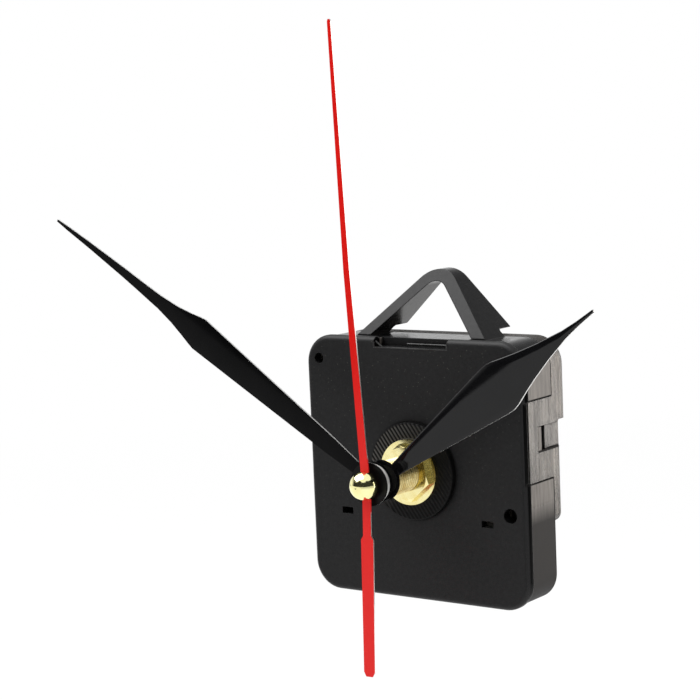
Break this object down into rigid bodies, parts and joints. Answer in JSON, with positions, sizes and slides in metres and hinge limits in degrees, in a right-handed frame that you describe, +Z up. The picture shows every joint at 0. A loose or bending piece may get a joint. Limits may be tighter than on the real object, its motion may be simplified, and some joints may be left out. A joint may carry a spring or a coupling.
{
  "type": "quartz clock movement",
  "caption": "Battery quartz clock movement: flat moulded case with hanging loop and clip-on rear cover, threaded shaft bush with washers and nut, and hour, minute and second hands.",
  "frame": {"origin": "on the hand shaft's axis, in the plane of the case's front face, which is the shaft bush's root", "axes": "+X right as seen from the dial side, +Y from the dial side into the case, +Z up towards the hanging loop"},
  "size_m": [0.1377, 0.0393, 0.1362],
  "materials": {
    "front_case": "finely textured moulding",
    "rear_cover": "smoke tinted, glossy",
    "middle_plate": "natural moulding",
    "threaded_bush": "machined",
    "rubber_washer": "ribbed",
    "brass_washer": "stamped, bright",
    "hex_nut": "machined",
    "hour_wheel": "natural acetal",
    "minute_wheel": "natural acetal",
    "minute_pipe": "turned",
    "centre_wheel": "natural acetal",
    "third_wheel": "natural acetal",
    "second_wheel": "natural acetal",
    "second_arbor": "drawn wire",
    "intermediate_wheel": "natural acetal",
    "rotor_pinion": "natural acetal",
    "rotor_magnet": "sintered magnet",
    "stator": "stamped soft iron",
    "coil_core": "stamped soft iron",
    "coil_bobbin": "natural moulding",
    "coil_winding": "enamelled copper wire",
    "circuit_board": "solder mask",
    "quartz_crystal": "drawn can",
    "chip_cap": "cast resin",
    "positive_contact": "nickel plated strip",
    "negative_contact": "nickel plated strip",
    "setting_knob": "moulded",
    "hour_hand": "satin black paint on sheet aluminium",
    "hour_hand_collet": "turned",
    "minute_hand": "satin black paint on sheet aluminium",
    "minute_hand_collet": "turned",
    "second_hand": "red paint on sheet aluminium",
    "second_hand_tube": "drawn tube",
    "second_hand_cap": "polished dome"
  },
  "bodies": {
    "movement": {"front_case": "front_case", "rear_cover": "rear_cover", "middle_plate": "middle_plate", "threaded_bush": "threaded_bush", "rubber_washer": "rubber_washer", "brass_washer": "brass_washer", "hex_nut": "hex_nut", "stator": "stator", "coil_core": "coil_core", "coil_bobbin": "coil_bobbin", "coil_winding": "coil_winding", "circuit_board": "circuit_board", "quartz_crystal": "quartz_crystal", "chip_cap": "chip_cap", "positive_contact": "positive_contact", "negative_contact": "negative_contact"},
    "seconds": {"second_hand": "second_hand", "second_hand_tube": "second_hand_tube", "second_hand_cap": "second_hand_cap", "second_arbor": "second_arbor", "second_wheel": "second_wheel"},
    "minutes": {"minute_hand": "minute_hand", "minute_hand_collet": "minute_hand_collet", "minute_pipe": "minute_pipe"},
    "hours": {"hour_hand": "hour_hand", "hour_hand_collet": "hour_hand_collet", "hour_wheel": "hour_wheel"},
    "centre_wheel": {"centre_wheel": "centre_wheel"},
    "minute_wheel": {"minute_wheel": "minute_wheel"},
    "third_wheel": {"third_wheel": "third_wheel"},
    "intermediate_wheel": {"intermediate_wheel": "intermediate_wheel"},
    "rotor": {"rotor_magnet": "rotor_magnet", "rotor_pinion": "rotor_pinion"},
    "setting_knob": {"setting_knob": "setting_knob"}
  },
  "joints": [
    {"name": "seconds_turn", "type": "hinge", "parent": "movement", "child": "seconds", "pos_m": [0, 0, 0], "axis": [0, 1, 0], "continuous": true},
    {"name": "minutes_turn", "type": "hinge", "parent": "movement", "child": "minutes", "pos_m": [0, 0, 0], "axis": [0, 1, 0], "continuous": true},
    {"name": "hours_turn", "type": "hinge", "parent": "movement", "child": "hours", "pos_m": [0, 0, 0], "axis": [0, 1, 0], "continuous": true},
    {"name": "centre_wheel_turn", "type": "hinge", "parent": "movement", "child": "centre_wheel", "pos_m": [0, 0, 0], "axis": [0, 1, 0], "continuous": true},
    {"name": "minute_wheel_turn", "type": "hinge", "parent": "movement", "child": "minute_wheel", "pos_m": [-0.0084, 0, 0], "axis": [0, 1, 0], "continuous": true},
    {"name": "third_wheel_turn", "type": "hinge", "parent": "movement", "child": "third_wheel", "pos_m": [-0.00314, 0, 0.00863], "axis": [0, 1, 0], "continuous": true},
    {"name": "intermediate_wheel_turn", "type": "hinge", "parent": "movement", "child": "intermediate_wheel", "pos_m": [0.00677, 0, -0.00246], "axis": [0, 1, 0], "continuous": true},
    {"name": "rotor_turn", "type": "hinge", "parent": "movement", "child": "rotor", "pos_m": [0.0119, 0, -0.0006], "axis": [0, 1, 0], "continuous": true},
    {"name": "setting_knob_turn", "type": "hinge", "parent": "movement", "child": "setting_knob", "pos_m": [-0.01528, 0, -0.00482], "axis": [0, 1, 0], "continuous": true}
  ],
  "couplings": [
    {"joint": "third_wheel_turn", "follows": "seconds_turn", "ratio": -0.13333},
    {"joint": "centre_wheel_turn", "follows": "seconds_turn", "ratio": 0.016667},
    {"joint": "intermediate_wheel_turn", "follows": "seconds_turn", "ratio": -5},
    {"joint": "rotor_turn", "follows": "seconds_turn", "ratio": 30},
    {"joint": "minute_wheel_turn", "follows": "minutes_turn", "ratio": -0.33333},
    {"joint": "hours_turn", "follows": "minutes_turn", "ratio": 0.083333},
    {"joint": "setting_knob_turn", "follows": "minutes_turn", "ratio": 1}
  ]
}
